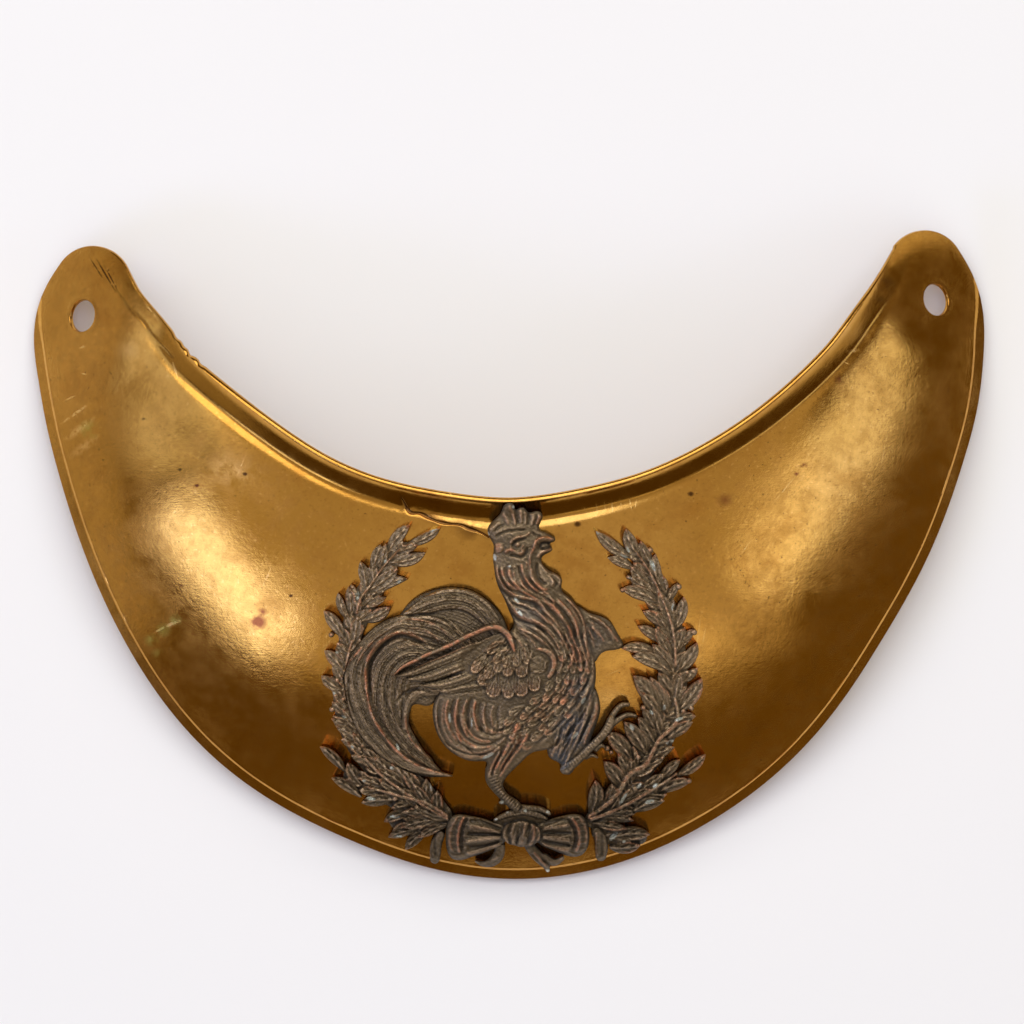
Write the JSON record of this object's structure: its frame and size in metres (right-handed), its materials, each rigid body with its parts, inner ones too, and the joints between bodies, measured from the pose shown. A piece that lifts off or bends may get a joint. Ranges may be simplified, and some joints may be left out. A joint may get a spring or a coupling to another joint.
{
  "type": "officer's gorget with emblem",
  "caption": "Crescent neck plate of domed sheet brass with an upturned neck lip, a cord hole in each horn and a cast rooster and laurel emblem.",
  "frame": {"origin": "centre of the bounding box, on the surface that the plate lies on", "axes": "+X to the right as the front is looked at, +Y towards the neck, +Z out of the front"},
  "size_m": [0.15, 0.101, 0.0347],
  "materials": {
    "brass_sheet": "worn, tarnished brass sheet",
    "dark_copper": "dark patina with copper showing on the worn edges",
    "post_brass": "dull brass"
  },
  "bodies": {
    "root": {"plate": "brass_sheet", "emblem": "dark_copper", "post_left": "post_brass", "post_right": "post_brass", "post_top": "post_brass"}
  },
  "joints": []
}
